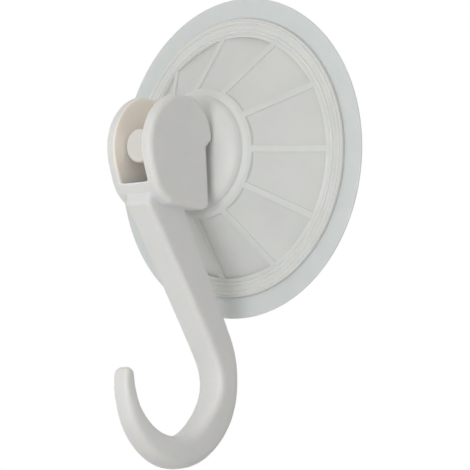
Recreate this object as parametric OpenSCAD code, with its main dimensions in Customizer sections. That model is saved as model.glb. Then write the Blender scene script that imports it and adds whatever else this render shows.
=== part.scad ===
// Suction cup hook with a cam lever. A soft cup is moulded round the flange of a pull
// stem. A stiff cone-shaped cover slides on the stem and stands on the cup's lip. The
// lever's two cheeks straddle the end of the stem on a cross pin, and their lobes bear
// on the cover's boss. The lever carries the hook.
// The wall is the plane Y = 0, the front faces -Y and +Z is up. The origin is where the
// cup's axis meets the wall. Lengths are in millimetres.
// The lever is drawn locked, with its hook down.

/* [Cup] */
// Radius of the soft cup at the edge of its lip
cup_r = 40; // [37:0.5:50]
// Thickness of the lip
lip_t = 0.9; // [0.7:0.1:1.6]
// How far the lip reaches past the cover
lip_overhang = 5.2; // [3:0.2:8]
// Depth of the hollow behind the cup, with the cup drawn tight
hollow_depth = 3.4; // [1.5:0.1:3.9]
// Thickness of the cup's wall over the hollow
dome_t = 1.8; // [1.3:0.1:2.2]
// Radius of the hub that grips the stem's flange
hub_r = 10; // [9:0.2:11]
// Thickness of the hub's skin over the flange
hub_skin = 2; // [1:0.1:2.4]

/* [Cover] */
// Height of the boss face above the wall
cover_h = 18.7; // [17.5:0.1:22]
// Thickness of the cover's wall at the lands
cover_wall = 2.1; // [1.9:0.1:2.6]
// Thickness of the flat ring that stands on the lip
ring_t = 1; // [0.8:0.1:1.6]
// Width of the flat ring round the foot of the cone
ring_w = 3.8; // [3.2:0.1:5]
// Radius of the two beads on the ring
bead_r = 0.4; // [0.2:0.05:0.5]
// Radius at the top of the cone
shoulder_r = 15.5; // [15:0.1:17]
// Drop from the boss face to the top of the cone
shoulder_drop = 3.2; // [2.4:0.1:4]
// Radius at the foot of the boss
boss_r = 14.2; // [13:0.1:14.8]
// Radius of the flat face on the boss
face_r = 9; // [8.4:0.1:11]
// Wall round the bore for the stem
sleeve_wall = 1.8; // [1.2:0.1:2.6]
// Length of the bore for the stem
bore_len = 7.6; // [5:0.1:8]

/* [Panels] */
// Number of panels let into the cone
panels = 11; // [7:1:16]
// Width of the land between two panels
land_w = 1.6; // [1:0.1:3]
// Depth of a panel at its long sides
panel_depth = 0.3; // [0.2:0.05:0.5]
// Plain band between a panel and each end of the cone
panel_margin = 0.8; // [0.5:0.1:2]

/* [Stem and pin] */
// Diameter of the stem
stem_d = 8.4; // [7.6:0.1:9.4]
// Width of the stem between the flats that the cheeks straddle
flat_w = 8; // [6.6:0.1:8.2]
// Radius of the flange inside the hub
flange_r = 7; // [6:0.1:8]
// Thickness of the flange
flange_t = 1.8; // [1:0.1:2.2]
// Reach of the stem past the pin
stem_past_pin = 6.6; // [5:0.1:7]
// Chamfer on the stem's end
stem_chamfer = 0.4; // [0.2:0.1:1.2]
// Diameter of the pin
pin_d = 3; // [2:0.1:4]
// Height of the pin above the cup's axis
pin_rise = 1.5; // [0:0.1:1.8]

/* [Lever head] */
// Thickness of a cheek
cheek_t = 3; // [2:0.1:4]
// Radius of the lobe that bears on the cover
lobe_r = 12.9; // [12.3:0.1:14]
// Angle above the pin at which the lobe starts
lobe_start = 4; // [2:1:20]
// Height of the flat top above the pin
top_h = 11.3; // [10:0.1:11.7]
// Radius of the round front
front_r = 13.7; // [12:0.1:15]
// Reach of the round front in front of the pin
front_reach = 10.6; // [9.6:0.1:12]
// How far the flat top cuts into the circle of the round front
crown_cut = 0.6; // [0.2:0.1:1.4]
// Lean of the straight front under the round one
front_lean = 19; // [14:1:22]
// Length of the straight front
front_straight = 3.8; // [3:0.1:5]
// Radius of the chin
chin_r = 10; // [8:0.1:10.4]
// Distance from the pin to the straight face beside the cover
back_d = 10.7; // [9.8:0.1:11.4]
// How far the heel stands out past that face
heel_out = 1; // [0:0.1:1.4]
// Depth of the head below the pin
head_drop = 16.6; // [15.6:0.1:20]
// Depth of the slot's floor below the pin
slot_drop = 10.8; // [10:0.1:11.3]
// Rounding of the head's long edges
head_round = 1.2; // [0.4:0.1:1.4]
// Rounding of the heel
heel_r = 2; // [1.5:0.1:2.6]

/* [Hook] */
// Drop from the pin to the centre of the hook's bend
bend_drop = 58.6; // [52:0.1:80]
// How far the centre of the bend lies behind the pin
bend_back = 5.7; // [2:0.1:7]
// Radius of the middle line of the bend
bend_r = 17.4; // [14:0.1:20]
// Width of the shank
hook_w = 8.2; // [6:0.1:8.8]
// Width of the bend at its bottom
bend_w = 7.6; // [6:0.1:8.8]
// Width of the tip
tip_w = 4.7; // [4:0.1:6]
// How far the root of the shank reaches in front of the pin
root_front = 6.7; // [6:0.1:7.2]
// How far the root of the shank reaches behind the pin
root_back = 6.4; // [5:0.1:8]
// How far the shank's middle line starts in front of the pin
neck_front = 1.3; // [0:0.1:2]
// Thickness of the shank at its foot
shank_t = 8.2; // [6:0.1:9]
// Extra thickness in front of the shank at its neck
front_flare = 2.9; // [2:0.1:4.4]
// Extra thickness behind the shank at its neck
back_flare = 0.8; // [0:0.1:2]
// Thickness at the back of the bend
back_t = 6.8; // [5.6:0.1:8]
// Reach of the bend outside its middle line, halfway from its back to its bottom
low_back_out = 3.8; // [3:0.1:5]
// Reach of the bend inside its middle line there
low_back_in = 4.5; // [3:0.1:5]
// Reach of the bend outside its middle line at its bottom
bottom_out = 5; // [3.6:0.1:5.6]
// Reach of the bend inside its middle line at its bottom
bottom_in = 3.2; // [2.6:0.1:4.2]
// Reach of the bend outside its middle line, halfway from its bottom to its front
low_front_out = 3.6; // [2.6:0.1:4.4]
// Reach of the bend inside its middle line there
low_front_in = 2.2; // [1.6:0.1:3.2]
// Thickness at the front of the bend
front_t = 3.4; // [2.8:0.1:5]
// Thickness of the tip
tip_t = 3; // [2.6:0.1:4.6]
// Straight reach of the tip between the bend and the tip's round end
tip_straight = 0.2; // [0.1:0.1:8]
// Rounding of the edges on the shank
shank_round = 1.2; // [0.5:0.1:1.5]
// Rounding of the edges at the bottom of the bend
bend_round = 2.4; // [1:0.1:2.8]
// Rounding of the edges at the tip
tip_round = 1; // [0.5:0.1:1.3]

/* [Fits] */
// Radial clearance between the stem and the cover's bore
slide_fit = 0.1; // [0.05:0.01:0.2]
// Radial clearance between the pin and the cheeks
pin_fit = 0.05; // [0.02:0.01:0.1]
// Clearance round a moulded-in or pressed part
snug_fit = 0.02; // [0.01:0.01:0.05]
// Gap on each side of the stem, between the cheeks
side_gap = 0.5; // [0.3:0.05:0.8]
// Gap between the turning lobe and the boss face
lobe_gap = 0.3; // [0.2:0.05:0.6]
// Gap between the cover's ring and the cup's lip
seat_gap = 0.05; // [0.02:0.01:0.1]

/* [Hidden] */

// Facets of a full turn on revolved and round shapes
round_fn = 96;
// Facets of a full turn on small round shapes
small_fn = 48;
// Small overlap that lets a cut run clear of a face
cut = 1;
// Thickness, taper and chamfer of the lip's blunt edge
edge_t = 0.6;
edge_taper = 3;
edge_chamfer = 0.2;
// How far the hollow's edge lies inside the cone's inner foot
hollow_in = 1.6;
// Chamfer of the hub and of the ring
hub_chamfer = 1;
ring_chamfer = 0.3;
// Distance of the outer bead from the ring's edge, and of the inner one from the cone
outer_bead_in = 1;
inner_bead_out = 0.6;
// Height of the boss's foot above the top of the cone
boss_step = 0.3;

cover_r = cup_r - lip_overhang;
cone_r = cover_r - ring_w;
foot_h = lip_t + seat_gap;
ring_top = foot_h + ring_t;
shoulder_h = cover_h - shoulder_drop;
cone_slope = atan2(shoulder_h - ring_top, cone_r - shoulder_r);
// Wall of the cone measured straight up, and its inner line at the ring and the shoulder
wall_up = cover_wall / cos(cone_slope);
bore_r = stem_d / 2 + slide_fit;
sleeve_r = bore_r + sleeve_wall;
// Height of the boss's foot, and of the roof under it
boss_foot_h = shoulder_h + boss_step;
roof_h = boss_foot_h - cover_wall;

// The hollow ends inside the cone's inner foot
inner_foot_r = cone_r - (foot_h - ring_top + wall_up) / tan(cone_slope);
hollow_r = inner_foot_r - hollow_in;
flange_z = hollow_depth + dome_t;
hub_top = flange_z + flange_t + hub_skin;

pin_h = cover_h + lobe_gap + lobe_r;
pin = [-pin_h, pin_rise];
stem_end = pin_h + stem_past_pin;
slot_w = flat_w + 2 * side_gap;
head_w = slot_w + 2 * cheek_t;
// Skin left outside the blind end of the pin's bore, and room at each end of the pin
pin_skin = 1;
pin_room = 0.2;

bend = pin + [bend_back, -bend_drop];
// The root lies inside the head, under the slot, and the neck just above it
root_depth = 2.2;
neck_depth = 1.8;
root = pin - [0, slot_drop + root_depth];
neck = pin - [neck_front, slot_drop + neck_depth];
// The shank's middle line runs straight from the neck onto the bend, without a kink
to_bend = bend - neck;
shank_a = atan2(to_bend[1], to_bend[0]) + asin(bend_r / norm(to_bend));
shank_len = sqrt(to_bend * to_bend - bend_r * bend_r);
bend_start = shank_a + 90;

function polar(centre, r, a) = centre + r * [cos(a), sin(a)];
// Points of an arc about a centre, from angle a0 to angle a1
function arc(centre, r, a0, a1, steps = 8) =
    [for (i = [0:steps]) polar(centre, r, a0 + (a1 - a0) * i / steps)];
// Soft step from 0 to 1
function ease(x) = (1 - cos(180 * min(1, max(0, x)))) / 2;
function mix(a, b, x) = a + (b - a) * x;
function unit(v) = v / norm(v);
// Left-hand normal of a direction
function side(v) = [-v[1], v[0]];

// Turns a shape about the cup's axis: local z points out of the wall, local y up
module outward() {
    rotate([90, 0, 0]) children();
}

// Cylinder along X through a point [Y, Z] of the side view, from x0 to x1
module cross_cylinder(at, r, x0, x1) {
    translate([x0, at[0], at[1]]) rotate([0, 90, 0]) cylinder(r = r, h = x1 - x0, $fn = small_fn);
}

// Height of the cup's dome above its foot, as a share, at radius r
function dome(r) = 1 - pow(r / hollow_r, 2);

module suction_cup() {
    steps = 12;
    rear = [for (i = [0:steps]) let (r = hollow_r * i / steps) [r, hollow_depth * dome(r)]];
    rise = flange_z - lip_t;
    front = [for (i = [0:steps]) let (r = mix(hollow_r, hub_r, i / steps))
        [r, lip_t + rise * dome(r)]];
    // The lip thins to a blunt edge
    edge = [[cup_r - edge_chamfer, 0], [cup_r, edge_chamfer], [cup_r, edge_t - edge_chamfer],
        [cup_r - edge_chamfer, edge_t], [cup_r - edge_taper, lip_t]];
    hub = [[hub_r, hub_top - hub_chamfer], [hub_r - hub_chamfer, hub_top], [0, hub_top]];
    color("honeydew", 0.7) outward() difference() {
        rotate_extrude($fn = round_fn) polygon(concat(rear, edge, front, hub));
        translate([0, 0, flange_z - snug_fit])
            cylinder(r = flange_r + snug_fit, h = flange_t + 2 * snug_fit, $fn = round_fn);
        translate([0, 0, flange_z])
            cylinder(r = stem_d / 2 + snug_fit, h = hub_top - flange_z + cut, $fn = round_fn);
    }
}

module pull_stem() {
    color("ivory") difference() {
        outward() {
            translate([0, 0, flange_z]) cylinder(r = flange_r, h = flange_t, $fn = round_fn);
            translate([0, 0, flange_z])
                cylinder(d = stem_d, h = stem_end - stem_chamfer - flange_z, $fn = round_fn);
            translate([0, 0, stem_end - stem_chamfer])
                cylinder(d1 = stem_d, d2 = stem_d - 2 * stem_chamfer, h = stem_chamfer, $fn = round_fn);
        }
        // Flats beside the cheeks, from just outside the cover to the end
        for (s = [-1, 1]) outward()
            translate([s * (flat_w + stem_d) / 2 - stem_d / 2, -stem_d, cover_h + lobe_gap])
                cube([stem_d, 2 * stem_d, stem_end]);
        cross_cylinder(pin, pin_d / 2 + snug_fit, -stem_d, stem_d);
    }
}

// Outer and inner line of the cover, as [radius, height]
module cover_section() {
    outer = concat(
        [[cover_r, foot_h], [cover_r, ring_top - ring_chamfer], [cover_r - ring_chamfer, ring_top],
            [cone_r, ring_top], [shoulder_r, shoulder_h], [boss_r, boss_foot_h]],
        [for (a = [15:15:90]) [mix(face_r, boss_r, cos(a)), mix(boss_foot_h, cover_h, sin(a))]]);
    inner = [[bore_r, cover_h], [bore_r, cover_h - bore_len], [sleeve_r, cover_h - bore_len],
        [sleeve_r, roof_h], [cone_r - (roof_h - ring_top + wall_up) / tan(cone_slope), roof_h],
        [inner_foot_r, foot_h]];
    polygon(concat(outer, inner));
}

// One flat panel let into the cone, between two lands
module panel_cut() {
    half = 180 / panels;
    r0 = shoulder_r + panel_margin;
    r1 = cone_r - panel_margin;
    // The panel is flat: its plane lies just under the cone's two edge lines
    panel_slope = atan2(shoulder_h - ring_top, (cone_r - shoulder_r) * cos(half));
    intersection() {
        linear_extrude(cover_h) intersection() {
            difference() {
                circle(r = r1, $fn = round_fn);
                circle(r = r0, $fn = round_fn);
            }
            polygon([[land_w / 2 / sin(half), 0], cover_r * [cos(half), sin(half)] + land_w / 2 *
                [sin(half), -cos(half)], cover_r * [cos(half), -sin(half)] + land_w / 2 *
                [sin(half), cos(half)]]);
        }
        translate([cone_r * cos(half), 0, ring_top]) rotate([0, panel_slope, 0])
            translate([-cover_r, -cover_r, -panel_depth]) cube([2 * cover_r, 2 * cover_r, cover_h]);
    }
}

module press_cover() {
    color("white") outward() difference() {
        union() {
            rotate_extrude($fn = round_fn) cover_section();
            for (r = [cover_r - outer_bead_in, cone_r + inner_bead_out]) rotate_extrude($fn = round_fn)
                translate([r, ring_top]) circle(r = bead_r, $fn = 16);
        }
        for (i = [0:panels - 1]) rotate([0, 0, (i + 0.5) * 360 / panels]) panel_cut();
    }
}

// The head's round front runs down a straight lean into the chin
front_at = pin + [front_r - front_reach, top_h + crown_cut - front_r];
front_top_a = 180 - asin((front_r - crown_cut) / front_r);
front_foot = polar(front_at, front_r, 180 + front_lean);
chin_top = polar(front_foot, front_straight, front_lean - 90);
chin_at = polar(chin_top, chin_r, front_lean);
chin_end_a = 252;
heel_at = pin + [back_d + heel_out - heel_r, heel_r - head_drop];
// The lobe ends in a step down to the straight face beside the cover
lobe_step = 2;

// Side view of the lever's head, as [Y, Z] points
head_outline = concat(
    arc(pin, lobe_r, lobe_start, asin(top_h / lobe_r), 8),
    arc(front_at, front_r, front_top_a, 180 + front_lean, 12),
    arc(chin_at, chin_r, 180 + front_lean, chin_end_a, 8),
    arc(heel_at, heel_r, 272, 356, 6),
    [pin + [back_d, lobe_r * sin(lobe_start) - lobe_step]]);

// Moves each point of a closed outline inward by d, square to the sides beside it
function inset(points, d) = let (n = len(points)) [for (i = [0:n - 1])
    let (
        before = unit(points[i] - points[(i + n - 1) % n]),
        after = unit(points[(i + 1) % n] - points[i]),
        normal = unit(side(before) + side(after)))
    points[i] + normal * d / max(0.5, normal * side(before))];

// Skins a stack of rings that all have n points, with a flat face at each end
module skin(rings) {
    n = len(rings[0]);
    m = len(rings);
    walls = [for (j = [0:m - 2]) for (i = [0:n - 1])
        [j * n + i, (j + 1) * n + i, (j + 1) * n + (i + 1) % n, j * n + (i + 1) % n]];
    first = [[for (i = [0:n - 1]) i]];
    last = [[for (i = [n - 1:-1:0]) (m - 1) * n + i]];
    polyhedron([for (ring = rings) each ring], concat(first, walls, last), convexity = 6);
}

// A side view run a width w along X, with its long edges rounded by r
module rounded_across(points, w, r, steps = 4) {
    quarter = [for (i = [0:steps]) r * [1 - cos(90 * i / steps), 1 - sin(90 * i / steps)]];
    layers = concat([for (q = quarter) [-w / 2 + q[0], q[1]]],
        [for (i = [steps:-1:0]) [w / 2 - quarter[i][0], quarter[i][1]]]);
    skin([for (l = layers) [for (p = inset(points, l[1])) [l[0], p[0], p[1]]]]);
}

// Value at place x on a smooth curve through values that stand one step apart
function through(values, x) =
    let (
        last = len(values) - 1,
        i = min(last - 1, floor(x)),
        f = x - i,
        p0 = values[max(0, i - 1)],
        p1 = values[i],
        p2 = values[i + 1],
        p3 = values[min(last, i + 2)])
    p1 + f / 2 * (p2 - p0 + f * (2 * p0 - 5 * p1 + 4 * p2 - p3 + f * (3 * (p1 - p2) + p3 - p0)));

// Reach of the bend outside and inside its middle line, every eighth of a turn from the back
bend_out = [back_t / 2, low_back_out, bottom_out, low_front_out, front_t / 2];
bend_in = [back_t / 2, low_back_in, bottom_in, low_front_in, front_t / 2];
bend_widths = [hook_w, (hook_w + bend_w) / 2, bend_w, (bend_w + tip_w) / 2, tip_w];
bend_rounds = [shank_round, (shank_round + bend_round) / 2, bend_round,
    (bend_round + tip_round) / 2, tip_round];

// Stations down the hook: [middle point, direction, reach in front or inside,
// reach behind or outside, width, rounding]
tip_cap = tip_t / 2;
tip_blunt = 0.15;
// The front flare fades down the shank by this power, and the neck's rear lies this share of
// the way from the root's rear to the shank's
flare_power = 1.4;
neck_share = 0.4;
root_station = [root, -90, root_front, root_back, hook_w, shank_round];
shank_stations = [for (x = [0.1:0.1:0.9])
    [polar(neck, shank_len * x, shank_a), shank_a, shank_t / 2 + front_flare * pow(1 - x, flare_power),
        shank_t / 2 + back_flare * (1 - x), hook_w, shank_round]];
// The neck runs the shank's front line straight up towards the root
function front_of(s) = s[0] - side(polar([0, 0], 1, s[1])) * s[2];
function back_of(s) = s[0] + side(polar([0, 0], 1, s[1])) * s[3];
neck_front_at = 2 * front_of(shank_stations[0]) - front_of(shank_stations[1]);
neck_back_at = mix(back_of(root_station), back_of(shank_stations[0]), neck_share);
neck_across = neck_front_at - neck_back_at;
neck_station = [(neck_front_at + neck_back_at) / 2, atan2(neck_across[0], -neck_across[1]),
    norm(neck_across) / 2, norm(neck_across) / 2, hook_w, shank_round];
start_stations = [for (x = [0:0.25:0.75])
    let (t = mix(shank_t, back_t, x) / 2)
    [polar(bend, bend_r, bend_start * (1 - x)), bend_start * (1 - x) - 90, t, t, hook_w, shank_round]];
bend_stations = [for (i = [0:36])
    let (a = -5 * i, x = -a / 45)
    [polar(bend, bend_r, a), a - 90, through(bend_in, x), through(bend_out, x),
        through(bend_widths, x), through(bend_rounds, x)]];
tip_stations = [for (a = [15:15:90])
    let (rise = tip_straight + tip_cap * sin(a), shrink = max(tip_blunt, cos(a)))
    [bend + [-bend_r, rise], 90, tip_cap * shrink, tip_cap * shrink,
        tip_w - tip_t * (1 - shrink), tip_round]];
stations = concat([root_station, neck_station], shank_stations, start_stations, bend_stations,
    tip_stations);

// Rounded rectangle across the hook at one station, as points in space
function hook_ring(s) =
    let (
        normal = side(polar([0, 0], 1, s[1])),
        x = s[4] / 2,
        // The rounding never takes up a whole side
        r = min(s[5], 0.48 * (s[2] + s[3]), 0.48 * s[4]),
        corners = [[x, s[2], 0], [-x, s[2], 90], [-x, -s[3], 180], [x, -s[3], 270]])
    [for (c = corners) for (a = [0:22.5:90])
        let (
            px = c[0] - sign(c[0]) * r + r * cos(c[2] + a),
            pn = c[1] - sign(c[1]) * r + r * sin(c[2] + a),
            at = s[0] - normal * pn)
        [px, at[0], at[1]]];

module lever_hook() {
    color("white") difference() {
        union() {
            rounded_across(head_outline, head_w, head_round);
            skin([for (s = stations) hook_ring(s)]);
        }
        translate([-slot_w / 2, pin[0] - 2 * front_r, pin[1] - slot_drop])
            cube([slot_w, 4 * front_r, 3 * front_r]);
        cross_cylinder(pin, pin_d / 2 + pin_fit, -head_w, head_w / 2 - pin_skin);
    }
}

module pivot_pin() {
    color("silver") cross_cylinder(pin, pin_d / 2, pin_room - head_w / 2, head_w / 2 - pin_skin - pin_room);
}

suction_cup();
pull_stem();
press_cover();
lever_hook();
pivot_pin();
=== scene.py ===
"""Looks of a suction cup hook with a cam lever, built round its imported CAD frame.

The wall is the plane Y = 0, the front faces -Y and +Z is up. The cup's axis runs along
-Y through the origin. Lengths are in metres, and names ending in _mm hold millimetres.
"""
import math

import bmesh
import bpy
from bpy.props import FloatProperty, FloatVectorProperty, IntProperty, PointerProperty
from mathutils import Matrix, Vector


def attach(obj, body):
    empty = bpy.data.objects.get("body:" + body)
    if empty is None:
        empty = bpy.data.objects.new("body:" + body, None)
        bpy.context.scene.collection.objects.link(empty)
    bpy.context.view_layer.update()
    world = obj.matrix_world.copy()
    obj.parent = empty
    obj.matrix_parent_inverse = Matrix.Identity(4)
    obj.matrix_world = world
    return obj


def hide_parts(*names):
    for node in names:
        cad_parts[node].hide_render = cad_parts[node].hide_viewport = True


bl_info = {
    "name": "Suction cup hook",
    "version": (1, 0, 0),
    "blender": (4, 5, 0),
    "location": "3D View > Sidebar > Suction hook",
    "description": "Builds the pieces and finishes of a suction cup hook with a cam lever",
    "category": "Object",
}

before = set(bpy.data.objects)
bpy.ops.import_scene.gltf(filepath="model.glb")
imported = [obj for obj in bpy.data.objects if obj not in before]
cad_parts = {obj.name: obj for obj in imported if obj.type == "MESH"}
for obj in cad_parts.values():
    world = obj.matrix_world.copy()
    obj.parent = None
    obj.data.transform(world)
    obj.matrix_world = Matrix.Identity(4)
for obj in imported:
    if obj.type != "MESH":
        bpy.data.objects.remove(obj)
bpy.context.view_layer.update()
MM = 0.001

# The camera's place, worked out from the ellipse of the cup's lip in the picture
CAMERA_AZIMUTH_DEG, CAMERA_ELEVATION_DEG = 42, -6.3
CAMERA_AWAY = 4.5  # so far that the picture has hardly any perspective
SENSOR_MM = 36
VIEW_WIDTH_MM = 116.9
VIEW_RIGHT_MM, VIEW_UP_MM = -1.87, -19.0

# Place, aim and watts of the soft lamps
LAMPS = {
    "key": ((0.13, -0.5, -0.09), (0, -0.02, -0.01), 0.95),
    "back": ((-0.35, 0.55, 0.05), (0, 0, -0.02), 0.7),
}
LAMP_SIZE = 0.3  # across the round lamp
LAMP_COLOUR = (0.97, 0.985, 1)

# The room's own light: the side it is strongest on, and its least and most strength
ROOM_SIDE = (0.15, -0.97, 0.1)
ROOM_LEAST, ROOM_MOST = 0.33, 0.7
ROOM_COLOUR = (1, 0.99, 0.97, 1)
WHITE = (1, 1, 1, 1)

FLOOR_RADIUS, FLOOR_HEIGHT = 1.0, -0.2
FLOOR_COLOUR = (0.7, 0.7, 0.69, 1)
FLOOR_ROUGHNESS = 0.9
FLOOR_WHITE_SHARE = 0.8  # the rest of what is seen of it is its own shading

# The lever's slot: half its width, and the height of its floor
SLOT_HALF_MM, SLOT_FLOOR_MM = 4.5, -9.3

# Points nearer to each other than this are merged
MERGE = 0.002 * MM


def linear(code):
    """Linear colour of an sRGB hex value."""
    out = []
    for i in (0, 2, 4):
        c = int(code[i:i + 2], 16) / 255
        out.append(c / 12.92 if c <= 0.04045 else ((c + 0.055) / 1.055) ** 2.4)
    return tuple(out)


def new_material(name):
    """A new material with an empty node tree."""
    mat = bpy.data.materials.new(name)
    mat.use_nodes = True
    mat.node_tree.nodes.clear()
    return mat, mat.node_tree


def add(tree, kind, settings=None, **links):
    """Adds a node, sets its properties, and sets or links its inputs.

    An input goes by its name, or by i and its number where names repeat.
    """
    node = tree.nodes.new(kind)
    for key, value in (settings or {}).items():
        setattr(node, key, value)
    for key, value in links.items():
        numbered = key[0] == "i" and key[1:].isdigit()
        socket = node.inputs[int(key[1:]) if numbered else key.replace("_", " ")]
        if isinstance(value, bpy.types.NodeSocket):
            tree.links.new(value, socket)
        else:
            socket.default_value = value
    return node


def blend_colours(tree, factor, dark, light):
    """Colour between two colours by a factor."""
    mix = add(tree, "ShaderNodeMix", {"data_type": "RGBA"}, i0=factor)
    mix.inputs[6].default_value = (*dark, 1)
    mix.inputs[7].default_value = (*light, 1)
    return mix.outputs[2]


def background_rays(tree):
    """1 for the rays that show the background: those of the camera, of gloss and of glass."""
    path = add(tree, "ShaderNodeLightPath")
    seen = path.outputs["Is Camera Ray"]
    for kind in ("Is Glossy Ray", "Is Transmission Ray"):
        either = add(tree, "ShaderNodeMath", {"operation": "MAXIMUM"}, i0=seen,
                     i1=path.outputs[kind])
        seen = either.outputs[0]
    return seen


def slot_mask(tree, at):
    """1 on the walls and floor of the lever's slot, 0 elsewhere."""
    place = add(tree, "ShaderNodeSeparateXYZ", None, Vector=at)
    across = add(tree, "ShaderNodeMath", {"operation": "ABSOLUTE"}, i0=place.outputs["X"])
    inside = add(tree, "ShaderNodeMapRange", None, Value=across.outputs[0],
                 From_Min=(SLOT_HALF_MM + 0.2) * MM, From_Max=(SLOT_HALF_MM + 0.6) * MM,
                 To_Min=1.0, To_Max=0.0)
    above = add(tree, "ShaderNodeMapRange", None, Value=place.outputs["Z"],
                From_Min=(SLOT_FLOOR_MM - 0.4) * MM, From_Max=(SLOT_FLOOR_MM + 3) * MM,
                To_Min=0.0, To_Max=1.0)
    both = add(tree, "ShaderNodeMath", {"operation": "MULTIPLY"}, i0=inside.outputs[0],
               i1=above.outputs[0])
    return both.outputs[0]


def moulded_plastic(name, dark, light, rough, grain_mm, grain_depth_mm, glow, glow_depth_mm,
                    painted_bounce=None):
    """Injection-moulded plastic.

    Slow flow clouds shift its tone a little, and the fine spark grain of the mould breaks
    up its gloss. Real grain is finer than the picture shows, so it is drawn coarser. Light
    goes a little way into the white plastic. A warmer cream painted on the slot's walls and
    floor stands in for warm light bounced inside it: painted light.
    """
    mat, tree = new_material(name)
    cloud_mm, gloss_spread = 9, 0.05
    at = add(tree, "ShaderNodeTexCoord").outputs["Object"]
    cloud = add(tree, "ShaderNodeTexNoise", None, Vector=at, Scale=1 / (cloud_mm * MM),
                Detail=2.0, Roughness=0.55)
    colour = blend_colours(tree, cloud.outputs[0], dark, light)
    # Painted light: the slot's walls and floor take a warmer cream that stands in for the warm
    # light bounced and glowing inside the slot
    if painted_bounce:
        mix = add(tree, "ShaderNodeMix", {"data_type": "RGBA"}, i0=slot_mask(tree, at),
                  i6=colour)
        mix.inputs[7].default_value = (*painted_bounce, 1)
        colour = mix.outputs[2]
    grain = add(tree, "ShaderNodeTexNoise", None, Vector=at, Scale=1 / (grain_mm * MM),
                Detail=2.0, Roughness=0.6)
    gloss = add(tree, "ShaderNodeMapRange", None, Value=grain.outputs[0], From_Min=0.3,
                From_Max=0.7, To_Min=rough - gloss_spread, To_Max=rough + gloss_spread)
    bump = add(tree, "ShaderNodeBump", None, Height=grain.outputs[0], Strength=0.35,
               Distance=grain_depth_mm * MM)
    skin = add(tree, "ShaderNodeBsdfPrincipled", None, Base_Color=colour,
               Roughness=gloss.outputs[0], Normal=bump.outputs[0], IOR=1.49,
               Subsurface_Weight=glow, Subsurface_Radius=(1.0, 0.75, 0.5),
               Subsurface_Scale=glow_depth_mm * MM)
    add(tree, "ShaderNodeOutputMaterial", None, Surface=skin.outputs[0])
    return mat


def soft_pvc(name, tint, haze):
    """Soft moulded PVC, gone milky with age and plasticiser.

    Light goes into it but no shapes show through. It is smoother than the hard plastics,
    with cloudy patches and the faint ripple of a soft moulding.
    """
    mat, tree = new_material(name)
    cloud_mm, ripple_mm, ripple_depth_mm, glow_depth_mm = 6, 2.5, 0.02, 1.5
    at = add(tree, "ShaderNodeTexCoord").outputs["Object"]
    cloud = add(tree, "ShaderNodeTexNoise", None, Vector=at, Scale=1 / (cloud_mm * MM),
                Detail=3.0, Roughness=0.5)
    colour = blend_colours(tree, cloud.outputs[0], tint, haze)
    ripple = add(tree, "ShaderNodeTexNoise", None, Vector=at, Scale=1 / (ripple_mm * MM),
                 Detail=1.0)
    gloss = add(tree, "ShaderNodeMapRange", None, Value=cloud.outputs[0], From_Min=0.3,
                From_Max=0.7, To_Min=0.3, To_Max=0.4)
    bump = add(tree, "ShaderNodeBump", None, Height=ripple.outputs[0], Strength=0.2,
               Distance=ripple_depth_mm * MM)
    skin = add(tree, "ShaderNodeBsdfPrincipled", None, Base_Color=colour,
               Roughness=gloss.outputs[0], Normal=bump.outputs[0], IOR=1.52,
               Subsurface_Weight=0.6, Subsurface_Radius=(1.0, 1.0, 1.0),
               Subsurface_Scale=glow_depth_mm * MM)
    add(tree, "ShaderNodeOutputMaterial", None, Surface=skin.outputs[0])
    return mat


def drawn_steel(name, tone):
    """Drawn steel wire: a bright grey metal, with fine lines along it from the die.

    Real lines are finer, and these are as coarse as they need to be to show.
    """
    mat, tree = new_material(name)
    line_length_mm, line_width_mm, line_depth_mm = 6, 0.12, 0.02
    at = add(tree, "ShaderNodeTexCoord").outputs["Object"]
    across = 1 / (line_width_mm * MM)
    along = add(tree, "ShaderNodeMapping", None, Vector=at,
                Scale=(1 / (line_length_mm * MM), across, across))
    lines = add(tree, "ShaderNodeTexNoise", None, Vector=along.outputs[0], Scale=1.0, Detail=2.0)
    colour = blend_colours(tree, lines.outputs[0], tuple(c * 0.85 for c in tone), tone)
    gloss = add(tree, "ShaderNodeMapRange", None, Value=lines.outputs[0], From_Min=0.3,
                From_Max=0.7, To_Min=0.22, To_Max=0.38)
    bump = add(tree, "ShaderNodeBump", None, Height=lines.outputs[0], Strength=0.4,
               Distance=line_depth_mm * MM)
    skin = add(tree, "ShaderNodeBsdfPrincipled", None, Base_Color=colour,
               Roughness=gloss.outputs[0], Normal=bump.outputs[0], Metallic=1.0)
    add(tree, "ShaderNodeOutputMaterial", None, Surface=skin.outputs[0])
    return mat


def make_object(name, mesh_builder, material, body, node):
    """A piece from a bmesh, which rides on a body and stands for a CAD node."""
    mesh = bpy.data.meshes.new(name)
    mesh_builder.to_mesh(mesh)
    mesh_builder.free()
    piece = bpy.data.objects.new(name, mesh)
    bpy.context.scene.collection.objects.link(piece)
    mesh.materials.append(material)
    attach(piece, body)
    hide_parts(node)
    return piece


def shade(piece, sharp_deg):
    """Smooth shading, with edges sharper than an angle kept crisp."""
    mesh = piece.data
    mesh.polygons.foreach_set("use_smooth", [True] * len(mesh.polygons))
    mesh.set_sharp_from_angle(angle=math.radians(sharp_deg))


def node_copy(node):
    """A merged copy of a CAD node's mesh, with its flat faces made whole."""
    bm = bmesh.new()
    bm.from_mesh(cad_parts[node].data)
    bmesh.ops.remove_doubles(bm, verts=bm.verts, dist=MERGE)
    bmesh.ops.dissolve_limit(bm, angle_limit=math.radians(0.6), verts=bm.verts, edges=bm.edges)
    return bm


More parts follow.
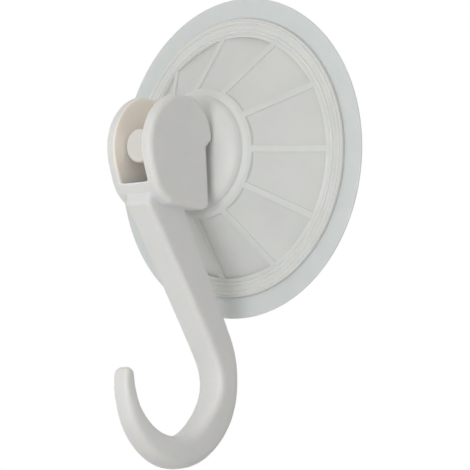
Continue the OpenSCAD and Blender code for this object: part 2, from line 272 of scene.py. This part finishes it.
def lathe(bm, profile, steps):
    """Turns a line of (radius, height off the wall) points, in mm, about the cup's axis."""
    verts = [bm.verts.new((r * MM, -h * MM, 0)) for r, h in profile]
    edges = [bm.edges.new(pair) for pair in zip(verts, verts[1:])]
    bmesh.ops.spin(bm, geom=verts + edges, cent=(0, 0, 0), axis=(0, 1, 0), angle=math.tau,
                   steps=steps, use_merge=True)
    bmesh.ops.remove_doubles(bm, verts=bm.verts, dist=MERGE)
    bmesh.ops.recalc_face_normals(bm, faces=bm.faces)


class HookColours(bpy.types.PropertyGroup):
    """Colours of the finishes."""
    plastic_light: FloatVectorProperty(
        name="Plastic, light", description="Lighter tone of the moulded plastic",
        subtype="COLOR", min=0, max=1, default=linear("E8E8E7"))
    plastic_dark: FloatVectorProperty(
        name="Plastic, dark", description="Darker tone of the moulded plastic",
        subtype="COLOR", min=0, max=1, default=linear("E1E1DF"))
    # The slot's creamier tone is painted light: a warm glow that stands in for light bounced and
    # shining through the plastic inside the slot
    slot_painted_bounce: FloatVectorProperty(
        name="Slot", description="Creamier tone inside the lever's slot",
        subtype="COLOR", min=0, max=1, default=linear("F6F0E8"))
    cover_light: FloatVectorProperty(
        name="Cover, light", description="Lighter tone of the cover's plastic",
        subtype="COLOR", min=0, max=1, default=linear("E1E2DF"))
    cover_dark: FloatVectorProperty(
        name="Cover, dark", description="Darker tone of the cover's plastic",
        subtype="COLOR", min=0, max=1, default=linear("DADBD8"))
    stem_light: FloatVectorProperty(
        name="Stem, light", description="Lighter tone of the stem's plastic",
        subtype="COLOR", min=0, max=1, default=linear("E3E1DD"))
    stem_dark: FloatVectorProperty(
        name="Stem, dark", description="Darker tone of the stem's plastic",
        subtype="COLOR", min=0, max=1, default=linear("DAD8D3"))
    cup_tint: FloatVectorProperty(
        name="Cup, tint", description="Tint of the soft cup",
        subtype="COLOR", min=0, max=1, default=linear("D0D4D3"))
    cup_haze: FloatVectorProperty(
        name="Cup, haze", description="Milky tone of the soft cup",
        subtype="COLOR", min=0, max=1, default=linear("D8DCDB"))
    pin_steel: FloatVectorProperty(
        name="Pin", description="Tone of the pin's steel",
        subtype="COLOR", min=0, max=1, default=linear("C9CACB"))


class HookSizes(bpy.types.PropertyGroup):
    """Sizes of the finishing work on the pieces."""
    cover_edge: FloatProperty(
        name="Cover edges", description="Rounding of the cover's edges",
        unit="LENGTH", default=0.12 * MM, min=0.02 * MM, max=0.3 * MM)
    panel_edge: FloatProperty(
        name="Panel edges", description="Rounding of the edges of the cover's panels",
        unit="LENGTH", default=0.3 * MM, min=0.02 * MM, max=0.5 * MM)
    lever_voxel: FloatProperty(
        name="Lever mesh", description="Mesh size of the lever's moulded skin",
        unit="LENGTH", default=0.3 * MM, min=0.15 * MM, max=1 * MM)
    lever_soften: IntProperty(
        name="Lever softening", description="Rounds of smoothing on the lever's edges",
        default=10, min=0, max=20)
    bend_soften: IntProperty(
        name="Bend softening", description="Rounds of smoothing that make the bend rounder",
        default=28, min=0, max=200)
    cup_steps: IntProperty(
        name="Cup steps", description="Steps round the soft cup",
        default=144, min=32, max=360)


class SUCTION_OT_stage(bpy.types.Operator):
    """Sets up the camera, lamps, floor and world"""
    bl_idname = "suction.stage"
    bl_label = "Stage"

    def execute(self, context):
        context.scene.view_settings.view_transform = "Standard"
        self.place_camera(context.scene)
        self.hang_lamps(context.scene)
        self.light_room(context.scene)
        self.lay_floor(context.scene)
        return {"FINISHED"}

    def place_camera(self, scene):
        """The picture was taken from far off, from the right and a little below."""
        azimuth, elevation = math.radians(CAMERA_AZIMUTH_DEG), math.radians(CAMERA_ELEVATION_DEG)
        right = Vector((math.cos(azimuth), math.sin(azimuth), 0))
        ahead = Vector((-math.sin(azimuth) * math.cos(elevation),
                        math.cos(azimuth) * math.cos(elevation), -math.sin(elevation)))
        above = right.cross(ahead)
        lens = bpy.data.cameras.new("camera")
        lens.sensor_width = SENSOR_MM
        lens.lens = SENSOR_MM * CAMERA_AWAY / (VIEW_WIDTH_MM * MM)
        lens.clip_end = 20
        camera = bpy.data.objects.new("camera", lens)
        camera.location = (right * VIEW_RIGHT_MM * MM + above * VIEW_UP_MM * MM
                           - ahead * CAMERA_AWAY)
        camera.rotation_euler = ahead.to_track_quat("-Z", "Y").to_euler()
        scene.collection.objects.link(camera)
        scene.camera = camera

    def hang_lamps(self, scene):
        """A soft lamp in front, and a weaker one behind so that the back can be seen."""
        for name, (place, aim, watts) in LAMPS.items():
            lamp = bpy.data.lights.new(name, "AREA")
            lamp.shape, lamp.size, lamp.energy = "DISK", LAMP_SIZE, watts
            lamp.color = LAMP_COLOUR
            holder = bpy.data.objects.new(name, lamp)
            holder.location = place
            toward = Vector(aim) - Vector(place)
            holder.rotation_euler = toward.to_track_quat("-Z", "Y").to_euler()
            scene.collection.objects.link(holder)

    def light_room(self, scene):
        """A room lit more from the front than from behind, with a white background."""
        world = bpy.data.worlds.new("studio")
        scene.world = world
        world.use_nodes = True
        tree = world.node_tree
        tree.nodes.clear()
        side = add(tree, "ShaderNodeVectorMath", {"operation": "DOT_PRODUCT"},
                   i0=add(tree, "ShaderNodeTexCoord").outputs["Generated"], i1=ROOM_SIDE)
        fall = add(tree, "ShaderNodeMapRange", None, Value=side.outputs["Value"], From_Min=-1.0,
                   From_Max=1.0, To_Min=ROOM_LEAST, To_Max=ROOM_MOST)
        soft = add(tree, "ShaderNodeBackground", None, Color=ROOM_COLOUR,
                   Strength=fall.outputs[0])
        white = add(tree, "ShaderNodeBackground", None, Color=WHITE, Strength=1.0)
        both = add(tree, "ShaderNodeMixShader", None, i0=background_rays(tree),
                   i1=soft.outputs[0], i2=white.outputs[0])
        add(tree, "ShaderNodeOutputWorld", None, Surface=both.outputs[0])

    def lay_floor(self, scene):
        """A round pale paper floor, below the hook and out of the picture."""
        bm = bmesh.new()
        bmesh.ops.create_circle(bm, cap_ends=True, segments=96, radius=FLOOR_RADIUS,
                                matrix=Matrix.Translation((0, 0, FLOOR_HEIGHT)))
        mesh = bpy.data.meshes.new("floor")
        bm.to_mesh(mesh)
        bm.free()
        floor = bpy.data.objects.new("floor", mesh)
        scene.collection.objects.link(floor)
        # Matt paper: no shine, and a trace of the object's soft shadow on nearly white
        mat, tree = new_material("matt_paper_floor")
        skin = add(tree, "ShaderNodeBsdfPrincipled", None, Base_Color=FLOOR_COLOUR,
                   Roughness=FLOOR_ROUGHNESS)
        lit = add(tree, "ShaderNodeEmission", None, Color=WHITE, Strength=1.0)
        share = add(tree, "ShaderNodeMath", {"operation": "MULTIPLY"},
                    i0=background_rays(tree), i1=FLOOR_WHITE_SHARE)
        paper = add(tree, "ShaderNodeMixShader", None, i0=share.outputs[0], i1=skin.outputs[0],
                    i2=lit.outputs[0])
        # Its underside is see-through, for views from below
        side = add(tree, "ShaderNodeNewGeometry").outputs["Backfacing"]
        clear = add(tree, "ShaderNodeBsdfTransparent")
        both = add(tree, "ShaderNodeMixShader", None, i0=side, i1=paper.outputs[0],
                   i2=clear.outputs[0])
        add(tree, "ShaderNodeOutputMaterial", None, Surface=both.outputs[0])
        mesh.materials.append(mat)


class SUCTION_OT_cup(bpy.types.Operator):
    """Builds the soft cup with its hollow, hub and thin lip"""
    bl_idname = "suction.cup"
    bl_label = "Soft cup"

    def execute(self, context):
        look, sizes = context.scene.hook_colours, context.scene.hook_sizes
        # Radii and heights off the wall, all in mm
        cup_r, hollow_r, hub_r, neck_r, flange_r = 40.0, 27.35, 10.0, 4.22, 7.02
        hollow_h, lip_h, dome_h, pocket_h, flange_h, hub_h = 3.4, 0.9, 5.2, 5.18, 7.02, 9
        edge_r, steps = 0.3, 20
        rear = [(hollow_r * i / steps, hollow_h * (1 - (i / steps) ** 2)) for i in range(steps)]
        # The sealing ring is flat against the wall, and the lip's edge is round
        ring = [(hollow_r, 0), (hollow_r + 0.6, 0), (33, 0), (36.5, 0), (39.2, 0)]
        edge = [(cup_r - edge_r + edge_r * math.sin(math.radians(a)),
                 edge_r - edge_r * math.cos(math.radians(a))) for a in range(0, 181, 30)]
        top = [(39.2, 0.64), (38.2, 0.76), (37, 0.86), (35.5, lip_h), (32, lip_h),
               (hollow_r + 0.3, lip_h)]
        dome = []
        for i in range(steps + 1):
            r = hollow_r + (hub_r + 0.02 - hollow_r) * i / steps
            dome.append((r, lip_h + (dome_h - lip_h) * (1 - (r / hollow_r) ** 2)))
        # The hub holds the stem's flange in a pocket, under a neck that the stem fills
        hub = [(hub_r, 5.6), (hub_r, 8), (9.7, 8.7), (9, hub_h), (6, hub_h), (4.25, hub_h),
               (neck_r, 8.9), (neck_r, flange_h), (flange_r, flange_h), (flange_r, pocket_h),
               (0, pocket_h)]
        bm = bmesh.new()
        lathe(bm, rear + ring + edge + top + dome + hub, sizes.cup_steps)
        mat = soft_pvc("milky_soft_pvc", look.cup_tint, look.cup_haze)
        piece = make_object("soft_cup", bm, mat, "cup_unit", "suction_cup")
        shade(piece, 40)
        return {"FINISHED"}


class SUCTION_OT_cover(bpy.types.Operator):
    """Rounds and finishes the stiff cone-shaped cover"""
    bl_idname = "suction.cover"
    bl_label = "Cover"

    def execute(self, context):
        look, sizes = context.scene.hook_colours, context.scene.hook_sizes
        bm = node_copy("press_cover")
        # The panels lie between these radii. They have wide soft edges, and the beads and
        # collars small ones
        inner, outer, sharp_angle = 15 * MM, 31.5 * MM, math.radians(14)
        for offset, panels in ((sizes.panel_edge, True), (sizes.cover_edge, False)):
            sharp = []
            for edge in bm.edges:
                spots = [v.co for v in edge.verts]
                on_panel = all(inner < math.hypot(p.x, p.z) < outer for p in spots)
                folded = len(edge.link_faces) == 2 and edge.calc_face_angle() > sharp_angle
                if folded and on_panel == panels:
                    sharp.append(edge)
            bmesh.ops.bevel(bm, geom=sharp, offset=offset, offset_type="OFFSET", segments=2,
                            profile=0.5, affect="EDGES", clamp_overlap=True, material=-1)
        # Polystyrene from a mould: the hardest and least milky of the three plastics, so
        # light goes less far into it, and its skin is a little glossier than the lever's
        mat = moulded_plastic("moulded_polystyrene_cover", look.cover_dark, look.cover_light,
                              rough=0.42, grain_mm=0.5, grain_depth_mm=0.012, glow=0.5,
                              glow_depth_mm=0.8)
        piece = make_object("cone_cover", bm, mat, "cup_unit", "press_cover")
        shade(piece, 35)
        return {"FINISHED"}


class SUCTION_OT_lever(bpy.types.Operator):
    """Moulds the lever's head, shank and hook into one softened skin"""
    bl_idname = "suction.lever"
    bl_label = "Lever and hook"

    def execute(self, context):
        look, sizes = context.scene.hook_colours, context.scene.hook_sizes
        bm = node_copy("lever_hook")
        # Acetal from a mould: tough, waxy and milky, so its gloss is soft and its edges glow
        # The slot colour passed here paints a warm glow into the slot, standing in for light
        # bounced inside it
        mat = moulded_plastic("moulded_acetal_lever", look.plastic_dark, look.plastic_light,
                              rough=0.46, grain_mm=0.45, grain_depth_mm=0.012, glow=0.7,
                              glow_depth_mm=1.5, painted_bounce=tuple(look.slot_painted_bounce))
        piece = make_object("lever_with_hook", bm, mat, "lever", "lever_hook")
        remesh = piece.modifiers.new("skin", "REMESH")
        remesh.mode, remesh.voxel_size, remesh.use_smooth_shade = "VOXEL", sizes.lever_voxel, True
        soften = piece.modifiers.new("soften", "SMOOTH")
        soften.factor, soften.iterations = 0.5, sizes.lever_soften
        # The node's copy has done its work once its softened skin is a mesh of its own
        faceted = piece.data
        depsgraph = context.evaluated_depsgraph_get()
        skin = bpy.data.meshes.new_from_object(piece.evaluated_get(depsgraph))
        piece.modifiers.clear()
        piece.data = skin
        bpy.data.meshes.remove(faceted)
        # The section is square in the shank, and goes round in the bend. Each round of
        # smoothing starts lower, so there is no step, and leaves more of the tip alone
        bm = bmesh.new()
        bm.from_mesh(skin)
        first, last = -36 * MM, -52 * MM
        tip_front, tip_low, tip_step = -38 * MM, -62 * MM, -0.1 * MM
        for i in range(sizes.bend_soften):
            below = first + (last - first) * i / sizes.bend_soften
            tip = tip_low + i * tip_step
            soft = [v for v in bm.verts
                    if v.co.z < below and not (v.co.y < tip_front and v.co.z > tip)]
            bmesh.ops.smooth_vert(bm, verts=soft, factor=0.5, use_axis_x=True,
                                  use_axis_y=True, use_axis_z=True)
        bm.to_mesh(skin)
        bm.free()
        return {"FINISHED"}


class SUCTION_OT_stem_and_pin(bpy.types.Operator):
    """Finishes the stem and the steel pin"""
    bl_idname = "suction.stem_and_pin"
    bl_label = "Stem and pin"

    def execute(self, context):
        look = context.scene.hook_colours
        # Nylon from a mould: slightly yellower than the lever, and smoother where it slides
        stem = moulded_plastic("moulded_nylon_stem", look.stem_dark, look.stem_light, rough=0.38,
                               grain_mm=0.5, grain_depth_mm=0.01, glow=0.7, glow_depth_mm=1.5)
        steel = drawn_steel("drawn_steel_pin", tuple(look.pin_steel))
        for node, mat in (("pull_stem", stem), ("pivot_pin", steel)):
            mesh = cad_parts[node].data
            mesh.materials.clear()
            mesh.materials.append(mat)
        return {"FINISHED"}


class SUCTION_PT_panel(bpy.types.Panel):
    """Lists the settings and the build steps"""
    bl_label = "Suction cup hook"
    bl_idname = "SUCTION_PT_panel"
    bl_space_type = "VIEW_3D"
    bl_region_type = "UI"
    bl_category = "Suction hook"

    def draw(self, context):
        for group in (context.scene.hook_colours, context.scene.hook_sizes):
            for key in group.__annotations__:
                self.layout.prop(group, key)
        for step in STEPS:
            self.layout.operator(step.bl_idname)


STEPS = (SUCTION_OT_stage, SUCTION_OT_cup, SUCTION_OT_cover, SUCTION_OT_lever,
         SUCTION_OT_stem_and_pin)
CLASSES = (HookColours, HookSizes) + STEPS + (SUCTION_PT_panel,)


def register():
    for cls in CLASSES:
        bpy.utils.register_class(cls)
    bpy.types.Scene.hook_colours = PointerProperty(type=HookColours)
    bpy.types.Scene.hook_sizes = PointerProperty(type=HookSizes)


def unregister():
    del bpy.types.Scene.hook_sizes
    del bpy.types.Scene.hook_colours
    for cls in reversed(CLASSES):
        bpy.utils.unregister_class(cls)


def main():
    """Builds everything."""
    register()
    bpy.ops.suction.stage()
    bpy.ops.suction.cup()
    bpy.ops.suction.cover()
    bpy.ops.suction.lever()
    bpy.ops.suction.stem_and_pin()


if __name__ == "__main__":
    main()
